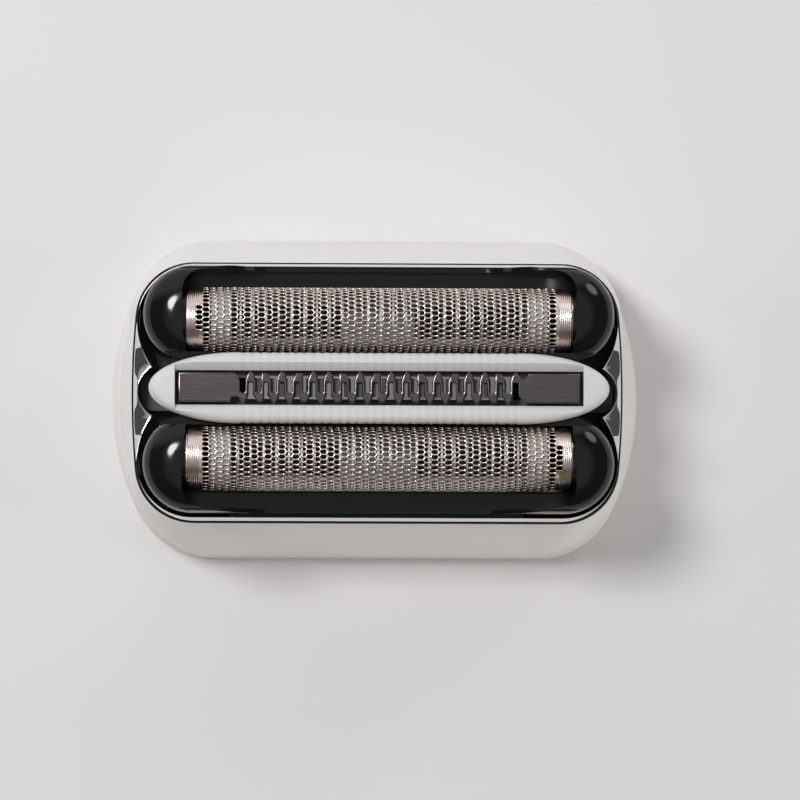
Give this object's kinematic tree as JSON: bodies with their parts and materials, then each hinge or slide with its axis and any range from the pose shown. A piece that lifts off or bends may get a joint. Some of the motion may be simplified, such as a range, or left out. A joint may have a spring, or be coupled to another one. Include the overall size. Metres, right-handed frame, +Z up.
{
  "type": "shaver foil head",
  "caption": "Foil head for an electric shaver: flared white casing, plated bezel, floating black frames with perforated foils, and a middle trimmer with a serpentine comb.",
  "frame": {"origin": "middle of the casing's underside, on the plane of its bottom rim", "axes": "+X along the foils, +Y to the rear, +Z up out of the foils"},
  "size_m": [0.058, 0.0352, 0.023],
  "materials": {
    "white_gloss_plastic": "glossy moulded casing",
    "plated_trim": "bright plating on a plastic ring",
    "black_gloss_plastic": "polished black",
    "foil_steel": "bright thin foil",
    "light_plastic": "satin light grey",
    "stamped_steel": "stamped and polished",
    "blade_steel": "ground",
    "grey_plastic": "matt moulded",
    "spring_steel": "rolled strip"
  },
  "bodies": {
    "casing": {"housing_shell": "white_gloss_plastic", "chrome_bezel": "plated_trim", "chassis": "grey_plastic", "foil_spring_front": "spring_steel", "foil_spring_rear": "spring_steel", "trimmer_spring_left": "spring_steel", "trimmer_spring_right": "spring_steel"},
    "trimmer": {"trimmer_holder": "light_plastic", "trimmer_comb": "stamped_steel"},
    "trimmer_cutter": {"trimmer_blade": "blade_steel", "trimmer_driver": "grey_plastic", "trimmer_blade_spring": "spring_steel"},
    "foil_unit_front": {"foil_frame_front": "black_gloss_plastic", "foil_front": "foil_steel"},
    "cutter_front": {"cutter_carrier_front": "grey_plastic", "cutter_blades_front": "blade_steel"},
    "foil_unit_rear": {"foil_frame_rear": "black_gloss_plastic", "foil_rear": "foil_steel"},
    "cutter_rear": {"cutter_carrier_rear": "grey_plastic", "cutter_blades_rear": "blade_steel"}
  },
  "joints": [
    {"name": "foil_float_front", "type": "slide", "parent": "casing", "child": "foil_unit_front", "axis": [0, 0, 1], "range_m": [-0.0022, 0], "stiffness_N_per_m": 300, "springref_m": 0.002, "deforming": ["foil_spring_front"]},
    {"name": "cutter_stroke_front", "type": "slide", "parent": "foil_unit_front", "child": "cutter_front", "axis": [1, 0, 0], "range_m": [-0.0012, 0.0012]},
    {"name": "foil_float_rear", "type": "slide", "parent": "casing", "child": "foil_unit_rear", "axis": [0, 0, 1], "range_m": [-0.0022, 0], "stiffness_N_per_m": 300, "springref_m": 0.002, "deforming": ["foil_spring_rear"]},
    {"name": "cutter_stroke_rear", "type": "slide", "parent": "foil_unit_rear", "child": "cutter_rear", "axis": [1, 0, 0], "range_m": [-0.0012, 0.0012]},
    {"name": "trimmer_float", "type": "slide", "parent": "casing", "child": "trimmer", "axis": [0, 0, 1], "range_m": [-0.001, 0], "stiffness_N_per_m": 250, "springref_m": 0.003, "deforming": ["trimmer_spring_left", "trimmer_spring_right"]},
    {"name": "trimmer_stroke", "type": "slide", "parent": "trimmer", "child": "trimmer_cutter", "axis": [1, 0, 0], "range_m": [-0.0008, 0.0008]}
  ]
}
